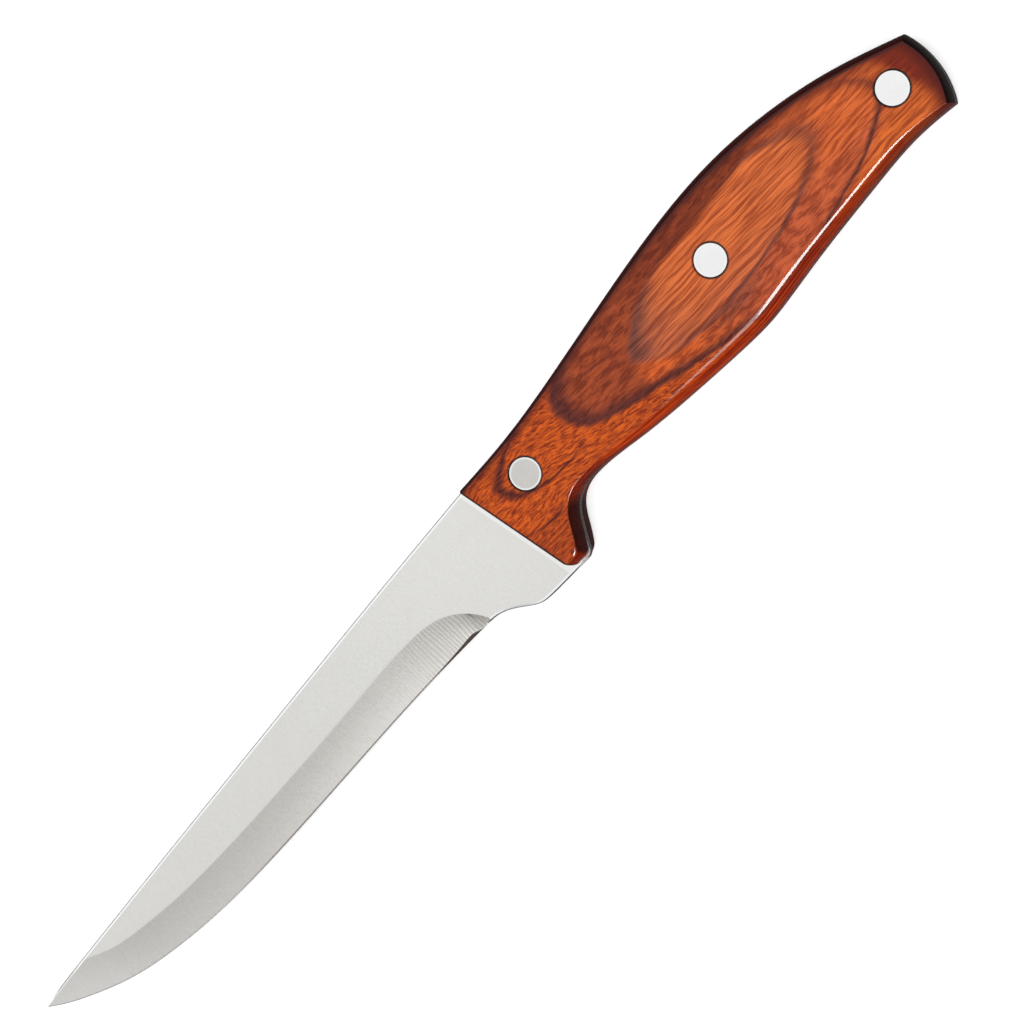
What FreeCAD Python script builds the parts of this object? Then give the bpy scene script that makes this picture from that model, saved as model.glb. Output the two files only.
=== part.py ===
import FreeCAD, Part
import math
import os

# Boning knife lying on its right scale, millimetres.
# +X runs from the tip to the butt, +Y from the cutting edge to the spine, +Z up.
# Points are written from the centre of the front rivet and the middle of the blade plate.
# The last step moves everything so that the origin is the bottom centre of the bounding box.

V = FreeCAD.Vector

# ---- driving dimensions ----
PLATE = 1.8             # thickness of the one-piece blade and tang
SCALE = 6.0             # thickness of each handle scale
HALF = PLATE / 2 + SCALE
TIP = (-166.65, -4.0)
BUTT_X = 113.9          # furthest point of the rounded butt
CROWN_Y = 16.6          # highest point of the handle back
HEEL_Y = -20.4          # lowest point of the heel

# Scale front: a square-cut face that leans back from spine to heel.
FRONT_X = -11.3
FRONT_LEAN = 0.209      # x gained for each mm towards the heel

# Rivets
RIVETS = (("front", 0.0, 0.0), ("middle", 57.1, 2.6), ("rear", 104.9, 0.0))
HEAD_R = 3.5
HEAD_T = 1.2
HEAD_SINK = 0.05        # heads sit this far below the scale face
HEAD_CHAMFER = 0.2
TUBE_R = 2.4
BORE_R = 1.6
STUD_R = 1.55
FIT = 0.05              # radial clearance round every rivet part
HEAD_FIT = 0.1          # radial clearance round a rivet head

# Blade grind
EDGE_HALF = 0.04        # half thickness left at the cutting edge
SHOULDER_HALF = 0.14    # half thickness at the top of the sharpening bevel
BEVEL_ANGLE = 18.0      # sharpening bevel, degrees each side
HOLLOW = 0.08           # depth of the hollow below a flat grind
CHAMFER = 0.3           # broken corners along the spine and heel

# Easing of the scale edges: how far the outer face stops short of the outline.
EASE_SPINE_FRONT = 1.35
EASE_SPINE_REAR = 2.5
EASE_BUTT = 1.1
EASE_BELLY = 2.0
EASE_NOTCH = 0.75
EASE_GUARD = 1.1
GUARD_STEP = 0.45       # scales stop this far above the bottom of the heel
TOE_R = 1.1             # rounded corner between the scale front and the guard

# ---- outlines, from the tip round to the butt and back ----
BLADE_SPINE = [TIP, (-163.2, -3.35), (-158, -2.8), (-120, 0.2), (-80, 3.2), (-40, 6.1)]
BACK_START = 7.8        # height of the back at the scale front
HANDLE_SPINE = [(0, 8.35), (20, 10.9), (40, 14.1), (55, 16.0), (69.5, CROWN_Y), (84, 15.2), (98, 11.9)]
BUTT_TOP = (113.2, 6.2)
BUTT_MID = (BUTT_X, 1.0)
BUTT_LOW = (110.7, -10.0)
BELLY = [(101, -9.15), (88, -9.9), (72, -11.5), (62, -12.85), (56, -13.5), (48, -13.4), (35, -12.5), (20, -10.85)]
NOTCH_TOP = (9.2, -9.5)
NOTCH = [(5.2, -9.85), (2.4, -11.2), (0.4, -13.4), (-1.35, -16.2)]
NOTCH_LOW = (-2.7, -18.7)
GUARD_MID = (-3.4, -19.85)
GUARD_LOW = (-4.7, HEEL_Y)
HEEL = [(-10, HEEL_Y), (-15.8, -20.34), (-18.3, -20.0), (-20.8, -18.65), (-23.8, -16.65), (-26.8, -15.35)]
EDGE_HEEL = (-30.7, -15.0)
EDGE = [(-45, -14.95), (-70, -15.7), (-98, -16.8), (-118, -16.8), (-135, -15.25), (-147, -12.75), (-156, -9.5),
        (-162.5, -6.5)]

# Ridge between the flat and the hollow grind, from beyond the spine to the plunge.
RIDGE = [(-178, 8.0), (-162, 2.0), (-151, -2.8), (-144, -5.5), (-136, -6.95), (-124, -8.1), (-112, -8.4),
         (-85, -7.75), (-60, -6.45), (-48, -5.9), (-42, -6.1), (-38, -6.8), (-35, -8.0), (-32.4, -9.8),
         (-30.3, -12.0)]


def spline(points, z, start=None, end=None):
    """Smooth curve through the points, with optional end directions."""
    poles = [V(x, y, z) for x, y in points]
    curve = Part.BSplineCurve()
    if start is None:
        curve.interpolate(poles)
    else:
        curve.interpolate(Points=poles, InitialTangent=V(*start, 0), FinalTangent=V(*end, 0))
    return curve


def arc(a, b, c, z):
    """Circular arc through three points."""
    return Part.Arc(V(*a, z), V(*b, z), V(*c, z)).toShape()


def line(a, b, z):
    """Straight edge."""
    return Part.makeLine(V(*a, z), V(*b, z))


def front_x(y):
    """Position of the scale front at height y."""
    return FRONT_X - FRONT_LEAN * y


def height_at(curve, x):
    """Height of a curve at station x, by halving the parameter range."""
    low = curve.FirstParameter
    high = curve.LastParameter
    if curve.value(low).x > curve.value(high).x:
        low, high = high, low
    for _ in range(40):
        mid = (low + high) / 2
        if curve.value(mid).x < x:
            low = mid
        else:
            high = mid
    return curve.value(low).y


def outward(before, point, after):
    """Unit normal pointing out of an outline that runs clockwise seen from above."""
    dx = after[0] - before[0]
    dy = after[1] - before[1]
    size = math.hypot(dx, dy)
    return (-dy / size, dx / size)


def eased(points, amounts):
    """Move the inner points of a run inwards along their normals."""
    result = []
    for i in range(1, len(points) - 1):
        nx, ny = outward(points[i - 1], points[i], points[i + 1])
        result.append((points[i][0] - nx * amounts[i - 1], points[i][1] - ny * amounts[i - 1]))
    return result


def spine_ease(x):
    """The rounding along the handle back grows towards the crown, then stays."""
    share = min(max((x + 13) / 80, 0), 1)
    return EASE_SPINE_FRONT + (EASE_SPINE_REAR - EASE_SPINE_FRONT) * share


def belly_ease(x):
    """The rounding along the belly is widest at the swell and fades to both ends."""
    front_share = min(max((x - 9) / 16, 0), 1)
    rear_share = min(max((110 - x) / 50, 0), 1)
    return EASE_NOTCH + (EASE_BELLY - EASE_NOTCH) * min(front_share, rear_share)


def handle_points(f, step):
    """Named outline points of the handle with the easing applied in the share f."""
    start_y = BACK_START - f * EASE_SPINE_FRONT
    start = (front_x(start_y), start_y)
    top = (BUTT_TOP[0] - f * EASE_BUTT, BUTT_TOP[1] - f * EASE_SPINE_REAR * 0.8)
    mid = (BUTT_MID[0] - f * EASE_BUTT, BUTT_MID[1])
    low = (BUTT_LOW[0] - f * EASE_BUTT * 0.9, BUTT_LOW[1] + f * EASE_NOTCH)
    spine_run = [start] + HANDLE_SPINE + [BUTT_TOP]
    spine = eased(spine_run, [f * spine_ease(x) for x, y in HANDLE_SPINE])
    belly_run = [BUTT_LOW] + BELLY + [NOTCH_TOP]
    belly = eased(belly_run, [f * belly_ease(x) for x, y in BELLY])
    notch_top = (NOTCH_TOP[0], NOTCH_TOP[1] + f * EASE_NOTCH)
    notch_run = [NOTCH_TOP] + NOTCH + [NOTCH_LOW]
    notch = eased(notch_run, [f * EASE_NOTCH] * len(NOTCH))
    tight = f * f
    notch_low = (NOTCH_LOW[0] - f * EASE_NOTCH, NOTCH_LOW[1] + step * 0.4 + tight * EASE_GUARD * 0.6)
    guard_mid = (GUARD_MID[0] - f * EASE_NOTCH, GUARD_MID[1] + step * 0.8 + tight * EASE_GUARD * 0.9)
    guard_low = (GUARD_LOW[0] - f * EASE_NOTCH * 0.3, HEEL_Y + step + tight * EASE_GUARD)
    return start, spine, top, mid, low, belly, notch_top, notch, notch_low, guard_mid, guard_low


def handle_edges(f, step, z):
    """Edges round the handle from the front of the back to the bottom of the guard."""
    start, spine, top, mid, low, belly, notch_top, notch, notch_low, guard_mid, guard_low = handle_points(f, step)
    return [
        spline([start] + spine + [top], z).toShape(),
        arc(top, mid, low, z),
        spline([low] + belly + [notch_top] + notch + [notch_low], z).toShape(),
        arc(notch_low, guard_mid, guard_low, z),
    ]


def scale_wire(f, z):
    """Closed outline of a scale at one level."""
    edges = handle_edges(f, GUARD_STEP, z)
    guard_low = handle_points(f, GUARD_STEP)[-1]
    bottom_y = guard_low[1]
    side = (front_x(bottom_y + TOE_R), bottom_y + TOE_R)
    toe = (side[0] + TOE_R * 1.15, bottom_y)
    bend = (side[0] + TOE_R * 0.36, bottom_y + TOE_R * 0.27)
    start = handle_points(f, GUARD_STEP)[0]
    edges.append(line(guard_low, toe, z))
    edges.append(arc(toe, bend, side, z))
    edges.append(line(side, start, z))
    return Part.Wire(edges)


def scale_body():
    """Scale on the +Z side: level inner face, elliptical easing up to a level outer face."""
    wires = []
    for level in range(7):
        turn = math.radians(15 * level)
        z = PLATE / 2 + SCALE * math.sin(turn)
        wires.append(scale_wire(1 - math.cos(turn), z))
    return Part.makeLoft(wires, True, False)


def rivet_cuts():
    """Round tools that open the scale for the three rivets."""
    tools = []
    for name, x, y in RIVETS:
        hole = Part.makeCylinder(TUBE_R + FIT, HALF + 1, V(x, y, 0))
        seat = Part.makeCylinder(HEAD_R + HEAD_FIT, HEAD_T + HEAD_SINK + 1, V(x, y, HALF - HEAD_T - HEAD_SINK))
        tools.append(hole.fuse(seat))
    return tools


def left_scale():
    """Scale on the +Z side with its rivet holes."""
    body = scale_body()
    for tool in rivet_cuts():
        body = body.cut(tool)
    return body


def right_scale():
    """The same scale mirrored through the plate."""
    return left_scale().mirror(V(0, 0, 0), V(0, 0, 1))


def blade_wire(z):
    """Outline of the blade and full tang in one piece."""
    edges = handle_edges(0, 0, z)
    start = handle_points(0, 0)[0]
    guard_low = handle_points(0, 0)[-1]
    back = spline(BLADE_SPINE + [start], z).toShape()
    heel = spline([guard_low] + HEEL + [EDGE_HEEL], z).toShape()
    edge = spline([EDGE_HEEL] + EDGE + [TIP], z).toShape()
    return Part.Wire([back] + edges + [heel, edge])


def corner_tool(points, stations):
    """Wedge that breaks the upper corner of the plate along a smooth run of its outline."""
    path = spline(points, PLATE / 2)
    first = path.FirstParameter
    reach = path.LastParameter - first
    wires = []
    for i in range(stations + 1):
        at = first + reach * i / stations
        point = path.value(at)
        along = path.tangent(at)[0]
        out = V(-along.y, along.x, 0)
        inner = point - out * (CHAMFER + 0.2) + V(0, 0, 0.2)
        lower = point + out * 0.2 - V(0, 0, CHAMFER + 0.2)
        far = point + out + V(0, 0, 1)
        wires.append(Part.makePolygon([inner, lower, far, inner]))
    return Part.makeLoft(wires, True, False)


def grind_section(x, edge_y, ridge_y, half, shift):
    """Cross-section of the material ground away above one side of the blade."""
    bevel = (half - EDGE_HALF) / math.tan(math.radians(BEVEL_ANGLE))
    top = PLATE / 2
    shoulder_y = edge_y + bevel
    mid_y = (shoulder_y + ridge_y) / 2
    mid_z = (half + top) / 2 - HOLLOW
    outer = V(x, edge_y - 3 - shift, EDGE_HALF)
    apex = V(x, edge_y - shift, EDGE_HALF)
    shoulder = V(x, shoulder_y - shift, half)
    middle = V(x, mid_y - shift, mid_z)
    ridge = V(x, ridge_y - shift, top)
    beyond = V(x, ridge_y + 2 - shift, top + 1)
    corner = V(x, ridge_y + 2 - shift, top + 3)
    away = V(x, edge_y - 3 - shift, top + 3)
    hollow = Part.Arc(shoulder, middle, ridge).toShape()
    return Part.Wire([
        Part.makeLine(outer, apex),
        Part.makeLine(apex, shoulder),
        hollow,
        Part.makeLine(ridge, beyond),
        Part.makeLine(beyond, corner),
        Part.makeLine(corner, away),
        Part.makeLine(away, outer),
    ])


def grind_tool():
    """Solid removed by the hollow grind on the +Z side."""
    edge = spline([EDGE_HEEL] + EDGE + [TIP], 0)
    ridge = spline(RIDGE, 0)
    wires = []
    for x in (-172, -166, -160, -152, -144, -134, -120, -100, -80, -62, -50, -43, -38, -35, -32.5, -30.5):
        edge_y = height_at(edge, min(max(x, TIP[0] + 0.05), EDGE_HEEL[0]))
        if x < TIP[0]:
            edge_y = edge_y + (TIP[0] - x) * 0.6
        growth = max((x + 52) / 22, 0)
        half = SHOULDER_HALF + 0.22 * growth * growth
        wires.append(grind_section(x, edge_y, height_at(ridge, x), half, 0))
    wires.append(grind_section(-28.6, EDGE_HEEL[1], EDGE_HEEL[1] + 2.0, 0.5, 3.0))
    return Part.makeLoft(wires, True, False)


def blade_and_tang():
    """Plate with broken corners, hollow grind on both sides and rivet holes."""
    face = Part.Face(blade_wire(-PLATE / 2))
    plate = face.extrude(V(0, 0, PLATE))
    start = handle_points(0, 0)[0]
    guard_low = handle_points(0, 0)[-1]
    tools = [
        corner_tool(BLADE_SPINE + [start], 16),
        corner_tool([guard_low] + HEEL + [EDGE_HEEL], 16),
        grind_tool(),
    ]
    for tool in tools:
        plate = plate.cut(tool)
        plate = plate.cut(tool.mirror(V(0, 0, 0), V(0, 0, 1)))
    for name, x, y in RIVETS:
        plate = plate.cut(Part.makeCylinder(TUBE_R + FIT, PLATE + 2, V(x, y, -PLATE / 2 - 1)))
    return plate


def head(x, y, side):
    """Rivet head with a broken rim, on the +Z side when side is 1."""
    disc = Part.makeCylinder(HEAD_R, HEAD_T - HEAD_CHAMFER, V(x, y, HALF - HEAD_SINK - HEAD_T))
    rim = Part.makeCone(HEAD_R, HEAD_R - HEAD_CHAMFER, HEAD_CHAMFER, V(x, y, HALF - HEAD_SINK - HEAD_CHAMFER))
    shape = disc.fuse(rim)
    if side < 0:
        shape = shape.mirror(V(0, 0, 0), V(0, 0, 1))
    return shape


def rivet_sleeve(x, y):
    """Female half: head on the +Z side and a tube that reaches the far scale."""
    seat_z = HALF - HEAD_SINK - HEAD_T
    tube_length = 2 * seat_z - 0.4
    tube = Part.makeCylinder(TUBE_R, tube_length, V(x, y, seat_z - tube_length))
    bore = Part.makeCylinder(BORE_R, tube_length - 0.2, V(x, y, seat_z - tube_length))
    return head(x, y, 1).fuse(tube).cut(bore).removeSplitter()


def rivet_stud(x, y):
    """Male half: head on the -Z side and a solid shank with a tapered nose."""
    seat_z = HALF - HEAD_SINK - HEAD_T
    shank_length = 2 * seat_z - 2.0
    shank = Part.makeCylinder(STUD_R, shank_length, V(x, y, -seat_z))
    nose = Part.makeCone(STUD_R, STUD_R - 0.4, 1.0, V(x, y, shank_length - seat_z))
    return head(x, y, -1).fuse(shank).fuse(nose).removeSplitter()


def export(shape, node):
    """Move a finished piece to the shared frame and write it out."""
    centre_x = (TIP[0] + BUTT_X) / 2
    centre_y = (HEEL_Y + CROWN_Y) / 2
    shape.translate(V(-centre_x, -centre_y, HALF))
    shape.exportStep("parts/" + node + ".step")
    box = shape.optimalBoundingBox()
    print(node, shape.isValid(), shape.ShapeType, len(shape.Solids), round(shape.Volume, 1),
          [round(value, 3) for value in (box.XMin, box.XMax, box.YMin, box.YMax, box.ZMin, box.ZMax)])


def main():
    """Build and export every piece."""
    os.makedirs("parts", exist_ok=True)
    export(blade_and_tang(), "blade_and_tang")
    export(left_scale(), "left_scale")
    export(right_scale(), "right_scale")
    for name, x, y in RIVETS:
        export(rivet_sleeve(x, y), name + "_rivet_sleeve")
        export(rivet_stud(x, y), name + "_rivet_stud")


main()
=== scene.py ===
import math

import bpy
import numpy as np
from mathutils import Matrix, Vector
from mathutils.geometry import tessellate_polygon


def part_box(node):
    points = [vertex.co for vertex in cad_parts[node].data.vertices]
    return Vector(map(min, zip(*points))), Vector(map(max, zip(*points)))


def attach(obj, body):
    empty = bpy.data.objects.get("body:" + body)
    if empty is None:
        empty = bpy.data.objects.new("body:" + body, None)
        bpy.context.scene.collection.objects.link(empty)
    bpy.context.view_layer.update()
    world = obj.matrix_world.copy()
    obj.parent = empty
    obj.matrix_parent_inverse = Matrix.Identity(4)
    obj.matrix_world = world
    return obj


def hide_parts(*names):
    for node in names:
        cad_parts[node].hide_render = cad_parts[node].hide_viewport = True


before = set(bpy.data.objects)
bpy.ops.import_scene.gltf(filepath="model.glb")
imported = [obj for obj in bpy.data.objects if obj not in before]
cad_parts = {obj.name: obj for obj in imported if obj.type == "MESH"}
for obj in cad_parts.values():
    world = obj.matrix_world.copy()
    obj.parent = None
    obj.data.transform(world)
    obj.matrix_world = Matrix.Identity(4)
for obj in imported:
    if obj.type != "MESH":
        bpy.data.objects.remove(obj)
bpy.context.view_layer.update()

# Boning knife lying on its right scale. Shapes are written in millimetres from the centre of the
# front rivet and the middle of the blade plate, with +X towards the butt and +Y towards the spine.
MM = 0.001
blade_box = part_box("blade_and_tang")
scale_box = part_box("left_scale")
front_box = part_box("front_rivet_sleeve")
ORIGIN = Vector(((front_box[0].x + front_box[1].x) / 2, (front_box[0].y + front_box[1].y) / 2,
                 (blade_box[0].z + blade_box[1].z) / 2))
TOP = (blade_box[1].z - blade_box[0].z) / 2 / MM      # half the thickness of the plate
SCALE = (scale_box[1].z - scale_box[0].z) / MM        # thickness of a handle scale
HALF = TOP + SCALE                                    # half the thickness of the handle

# ---- outlines ----
TIP = (-166.65, -4.0)
HEEL_Y = -20.4
FRONT_X, FRONT_LEAN = -11.3, 0.209
BLADE_SPINE = [TIP, (-163.2, -3.35), (-158, -2.8), (-120, 0.2), (-80, 3.2), (-40, 6.1)]
BACK_START = 7.8
HANDLE_SPINE = [(0, 8.35), (20, 10.9), (40, 14.1), (55, 16.0), (69.5, 16.6), (84, 15.2), (98, 11.9)]
BUTT_TOP, BUTT_MID, BUTT_LOW = (113.2, 6.2), (113.9, 1.0), (110.7, -10.0)
BELLY = [(101, -9.15), (88, -9.9), (72, -11.5), (62, -12.85), (56, -13.5), (48, -13.4), (35, -12.5),
         (20, -10.85)]
NOTCH_TOP = (9.2, -9.5)
NOTCH = [(5.2, -9.85), (2.4, -11.2), (0.4, -13.4), (-1.35, -16.2)]
NOTCH_LOW, GUARD_MID, GUARD_LOW = (-2.7, -18.7), (-3.4, -19.85), (-4.7, HEEL_Y)
HEEL = [(-10, HEEL_Y), (-15.8, -20.34), (-18.3, -20.0), (-20.8, -18.65), (-23.8, -16.65), (-26.8, -15.35)]
EDGE_HEEL = (-30.7, -15.0)
EDGE = [(-45, -14.95), (-70, -15.7), (-98, -16.8), (-118, -16.8), (-135, -15.25), (-147, -12.75),
        (-156, -9.5), (-162.5, -6.5)]
RIDGE = [(-178, 8.0), (-162, 2.0), (-151, -2.8), (-144, -5.5), (-136, -6.95), (-124, -8.1), (-112, -8.4),
         (-85, -7.75), (-60, -6.45), (-48, -5.9), (-42, -6.1), (-38, -6.8), (-35, -8.0), (-32.3, -9.9),
         (-30.0, -12.4), (-27.9, -16.2)]

# ---- blade: cutting edge, hollow grind and broken corners ----
EDGE_HALF = 0.04                                      # half thickness on the cutting edge
SHOULDER_HALF = 0.14                                  # half thickness above the edge bevel
BEVEL_ANGLE = 18.0                                    # degrees between the bevel and the middle plane
BEVEL_GROWTH, GROWTH_START, GROWTH_RUN = 0.15, -46.0, 10.5
EDGE_END, EDGE_FADE = -31.3, 3.0                      # where the bevel has closed, and over what length
CLOSED_HALF = 0.06                                    # half thickness above the closed bevel
HOLLOW = 0.08                                         # depth of the hollow under a straight grind
PLUNGE_START, PLUNGE_RUN = -30.8, 2.6                 # where the grind runs out into the full plate
BREAK, BREAK_OUTER = 0.62, 0.21                       # width of both corner facets, and of the outer one
BREAK_FLAT, BREAK_STEEP = 0.44, 1.6                   # slope of the facets, and what the outer one adds
BREAK_START = 1.5                                     # length over which the heel's corner sets in
LOW_MOST, HIGH_MOST, LEAST_GAP = 0.3, 0.2, 0.02       # limits of a column's bands, as shares of its width
LEAN_START, LEAN_RUN = -28.0, 12.0                    # where the columns begin to lean with the scale front
COLUMN_RUNS = [(TIP[0] + 0.02, -160, 60), (-160, -54, 230), (-54, -27, 150)]
LAST_RUN = (-27, -8.2, 70)
GRIND_ROWS, FLAT_ROWS = 16, 12
NO_RIDGE = -99.0                                      # below any edge
SPINE_SAMPLES, HEEL_SAMPLES, EDGE_SAMPLES, SPINE_OVERLAP = 600, 300, 900, 40
TANG_GAP = 0.3                                        # between the last column and the tang's next point

# ---- handle: easing, guard toe and rivet seats ----
EASE_SPINE_FRONT, EASE_SPINE_REAR, SPINE_EASE_START, SPINE_EASE_RUN = 1.35, 2.5, -13.0, 80.0
EASE_BUTT, EASE_NOTCH, EASE_GUARD = 1.1, 0.75, 1.7
BUTT_TOP_SHARE, BUTT_LOW_SHARE = 0.8, 0.9             # shares of the easing that the corner points take
NOTCH_LOW_SHARE, GUARD_MID_SHARE, GUARD_LOW_SHARE = 0.55, 0.9, 0.3
NOTCH_LOW_STEP, GUARD_MID_STEP = 0.4, 0.8             # shares of the guard's step that its points take
BACK_SAMPLES, BUTT_SAMPLES, BELLY_SAMPLES, GUARD_SAMPLES = 170, 44, 300, 14
FOOT_SAMPLES, TOE_SAMPLES, FRONT_SAMPLES = 8, 10, 60
BELLY_EASE = [(9, 1.2), (20, 2.0), (32, 2.4), (45, 2.8), (60, 2.75), (75, 2.25), (90, 1.95), (105, 1.4),
              (111, 1.0)]
GUARD_STEP = 0.52                                     # height of the scale's foot above the heel line
TOE_R, TOE_LENGTH, TOE_BEND = 0.75, 1.15, (0.28, 0.21)
LIP_R = 0.18                                          # rounding of the front face's upper edge
EASE_LEVELS, FACE_INSET, FACE_LIP = 26, 1.15, 1.8
SEAT_R, SEAT_DEPTH, HOLE_R, SEAT_BREAK, SEAT_MARGIN = 3.55, 1.25, 2.45, 0.08, 0.25
RIVETS = ("front", "middle", "rear")
# painted light: one tone per rivet head, for how brightly each is lit
RIVET_LIT_TONES = ((216, 213, 210), (251, 251, 252), (255, 255, 255))
HEAD_HIGHLIGHT_RIM = (2.85, 3.1)                                # radii between which the bright rim of a head sets in


# ================================ curves ================================

def curve(points, samples):
    """Smooth curve through the points: a natural cubic spline spaced by chord length."""
    p = np.array(points, float)
    h = np.linalg.norm(np.diff(p, axis=0), axis=1)
    t = np.concatenate(([0], np.cumsum(h)))
    n = len(p)
    a, b = np.zeros((n, n)), np.zeros((n, 2))
    a[0, 0] = a[-1, -1] = 1
    for i in range(1, n - 1):
        a[i, i - 1:i + 2] = h[i - 1], 2 * (h[i - 1] + h[i]), h[i]
        b[i] = 6 * ((p[i + 1] - p[i]) / h[i] - (p[i] - p[i - 1]) / h[i - 1])
    m = np.linalg.solve(a, b)
    at = np.linspace(0, t[-1], samples)
    k = np.clip(np.searchsorted(t, at) - 1, 0, n - 2)
    s, w = (at - t[k])[:, None], h[k][:, None]
    r = w - s
    bend = (m[k] * r ** 3 + m[k + 1] * s ** 3) / (6 * w)
    return bend + (p[k] / w - m[k] * w / 6) * r + (p[k + 1] / w - m[k + 1] * w / 6) * s


def arc(a, b, c, samples):
    """Circular arc through three points."""
    (ax, ay), (bx, by), (cx, cy) = a, b, c
    aa, bb, cc = ax ** 2 + ay ** 2, bx ** 2 + by ** 2, cx ** 2 + cy ** 2
    d = 2 * (ax * (by - cy) + bx * (cy - ay) + cx * (ay - by))
    ux = (aa * (by - cy) + bb * (cy - ay) + cc * (ay - by)) / d
    uy = (aa * (cx - bx) + bb * (ax - cx) + cc * (bx - ax)) / d
    first = math.atan2(ay - uy, ax - ux)
    turn = math.remainder(math.atan2(cy - uy, cx - ux) - first, 2 * math.pi)
    angles = first + turn * np.linspace(0, 1, samples)
    radius = math.hypot(ax - ux, ay - uy)
    return np.stack([ux + radius * np.cos(angles), uy + radius * np.sin(angles)], 1)


def line(a, b, samples):
    """Straight run."""
    return np.linspace(np.array(a, float), np.array(b, float), samples)


def smooth(share):
    """Ease in and out between 0 and 1."""
    share = np.clip(share, 0, 1)
    return share * share * (3 - 2 * share)


def height(run, x):
    """Height of a run at stations x."""
    order = np.argsort(run[:, 0])
    return np.interp(x, run[order, 0], run[order, 1])


def front_x(y):
    """Position of the scale front at height y."""
    return FRONT_X - FRONT_LEAN * y


# ================================ handle outline ================================

def eased(points, amounts):
    """Move the inner points of a run inwards along their normals."""
    result = []
    for i in range(1, len(points) - 1):
        dx, dy = points[i + 1][0] - points[i - 1][0], points[i + 1][1] - points[i - 1][1]
        size = math.hypot(dx, dy)
        result.append((points[i][0] + dy / size * amounts[i - 1], points[i][1] - dx / size * amounts[i - 1]))
    return result


def spine_ease(x):
    """The rounding along the handle back grows towards the crown, then stays."""
    share = min(max((x - SPINE_EASE_START) / SPINE_EASE_RUN, 0), 1)
    return EASE_SPINE_FRONT + (EASE_SPINE_REAR - EASE_SPINE_FRONT) * share


def belly_ease(x):
    """The rounding along the belly is widest at the swell and fades to both ends."""
    return float(np.interp(x, *zip(*BELLY_EASE)))


def back_and_butt(f):
    """Runs along the handle back and round the butt, eased by the share f."""
    start_y = BACK_START - f * EASE_SPINE_FRONT
    start = (front_x(start_y), start_y)
    top = (BUTT_TOP[0] - f * EASE_BUTT, BUTT_TOP[1] - f * EASE_SPINE_REAR * BUTT_TOP_SHARE)
    mid = (BUTT_MID[0] - f * EASE_BUTT, BUTT_MID[1])
    low = (BUTT_LOW[0] - f * EASE_BUTT * BUTT_LOW_SHARE, BUTT_LOW[1] + f * EASE_NOTCH)
    spine = eased([start] + HANDLE_SPINE + [BUTT_TOP], [f * spine_ease(x) for x, _ in HANDLE_SPINE])
    return [curve([start] + spine + [top], BACK_SAMPLES), arc(top, mid, low, BUTT_SAMPLES)], low


def belly_and_guard(f, step, low):
    """Runs along the belly and the notch and round the guard, from the butt's lower corner."""
    belly = eased([BUTT_LOW] + BELLY + [NOTCH_TOP], [f * belly_ease(x) for x, _ in BELLY])
    notch_top = (NOTCH_TOP[0], NOTCH_TOP[1] + f * belly_ease(NOTCH_TOP[0]))
    fade = np.linspace(belly_ease(NOTCH_TOP[0]), EASE_NOTCH, len(NOTCH) + 2)[1:-1]
    notch = eased([NOTCH_TOP] + NOTCH + [NOTCH_LOW], [f * amount for amount in fade])
    notch_low = (NOTCH_LOW[0] - f * EASE_NOTCH,
                 NOTCH_LOW[1] + step * NOTCH_LOW_STEP + f * EASE_GUARD * NOTCH_LOW_SHARE)
    guard_mid = (GUARD_MID[0] - f * EASE_NOTCH,
                 GUARD_MID[1] + step * GUARD_MID_STEP + f * EASE_GUARD * GUARD_MID_SHARE)
    guard_low = (GUARD_LOW[0] - f * EASE_NOTCH * GUARD_LOW_SHARE, HEEL_Y + step + f * EASE_GUARD)
    return [curve([low] + belly + [notch_top] + notch + [notch_low], BELLY_SAMPLES),
            arc(notch_low, guard_mid, guard_low, GUARD_SAMPLES)]


def handle_runs(f, step):
    """Runs round the handle, from the front of the back to the bottom of the guard, eased by the share f."""
    runs, low = back_and_butt(f)
    return runs + belly_and_guard(f, step, low)


def scale_outline(f, lip):
    """Closed outline of a scale at one level, with the front moved back by lip."""
    runs = handle_runs(f, GUARD_STEP)
    bottom_y = runs[3][-1][1]
    side = (front_x(bottom_y + TOE_R), bottom_y + TOE_R)
    toe = (side[0] + TOE_R * TOE_LENGTH, bottom_y)
    bend = (side[0] + TOE_R * TOE_BEND[0], bottom_y + TOE_R * TOE_BEND[1])
    runs += [line(runs[3][-1], toe, FOOT_SAMPLES), arc(toe, bend, side, TOE_SAMPLES),
             line(side, runs[0][0], FRONT_SAMPLES)]
    ring = np.concatenate([run[:-1] for run in runs])
    ring[:, 0] = np.maximum(ring[:, 0], front_x(ring[:, 1]) + lip)
    return ring


# ================================ mesh helpers ================================

def make_piece(name, verts, faces, node, material, crease=30.0):
    """Turn millimetre points into a smooth shaded piece that stands for a CAD node."""
    points = [Vector(v) * MM + ORIGIN for v in verts]
    mesh = bpy.data.meshes.new(name)
    mesh.from_pydata(points, [], faces)
    mesh.validate()
    mesh.polygons.foreach_set("use_smooth", [True] * len(mesh.polygons))
    mesh.set_sharp_from_angle(angle=math.radians(crease))
    mesh.materials.append(material)
    piece = bpy.data.objects.new(name, mesh)
    bpy.context.scene.collection.objects.link(piece)
    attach(piece, "root")
    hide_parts(node)


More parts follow.
